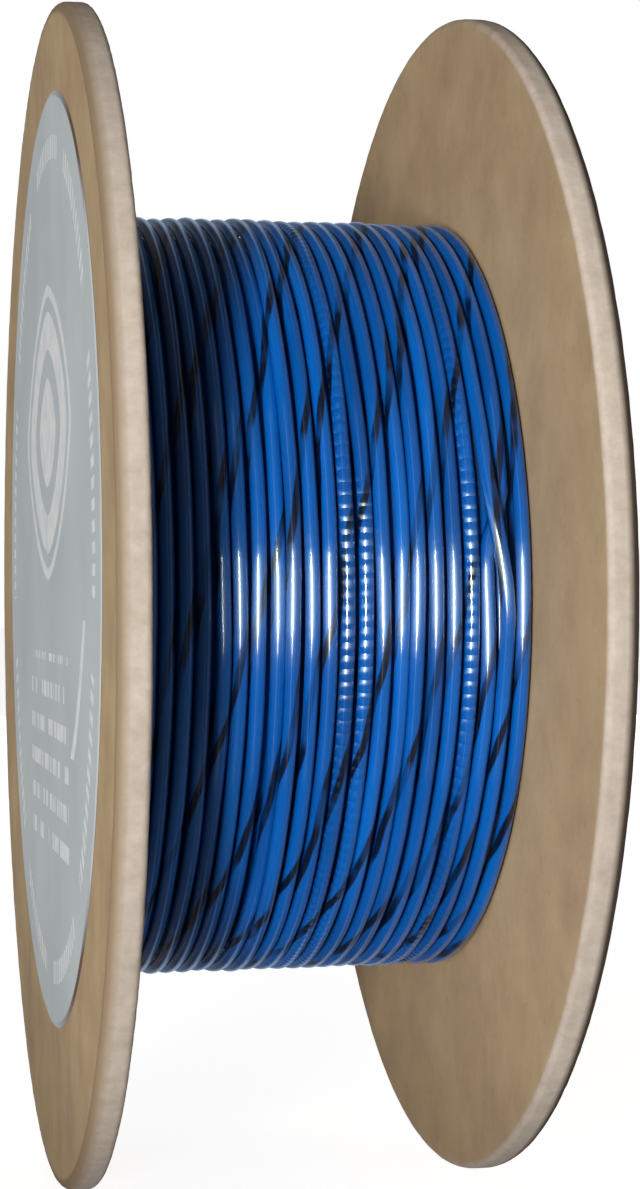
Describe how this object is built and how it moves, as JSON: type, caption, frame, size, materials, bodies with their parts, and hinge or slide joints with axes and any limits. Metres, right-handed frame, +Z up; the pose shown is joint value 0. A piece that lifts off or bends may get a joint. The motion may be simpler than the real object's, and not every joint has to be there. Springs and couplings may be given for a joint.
{
  "type": "wire spool",
  "caption": "Flanged hardboard spool wound full with blue insulated electrical wire that has a black tracer, with a round paper label on one flange.",
  "frame": {"origin": "middle of the arbor hole's axis, half way between the flanges' outer faces", "axes": "+X along the spool axis, from the labelled flange to the bare one; +Z up as the spool stands on its rims; the outer end of the wire leaves at the back, at +Y"},
  "size_m": [0.0604, 0.165, 0.165],
  "materials": {
    "hardboard": "pressed hardboard, smooth matt faces and a paler cut rim",
    "paperboard": "spirally wound kraft tube, matt",
    "plug_wood": "sawn softwood, bare",
    "staple_steel": "galvanised wire, satin",
    "label_paper": "coated label paper, soft sheen",
    "insulation": "extruded PVC, glossy, with a black tracer stripe",
    "copper": "bright stranded copper"
  },
  "bodies": {
    "root": {"flange_left": "hardboard", "flange_right": "hardboard", "core_tube": "paperboard", "hub_plug_left": "plug_wood", "hub_plug_right": "plug_wood", "staples_left": "staple_steel", "staples_right": "staple_steel", "label": "label_paper", "wire_layer_1": "insulation", "wire_layer_2": "insulation", "wire_layer_3": "insulation", "wire_layer_4": "insulation", "wire_conductor": "copper"}
  },
  "joints": []
}
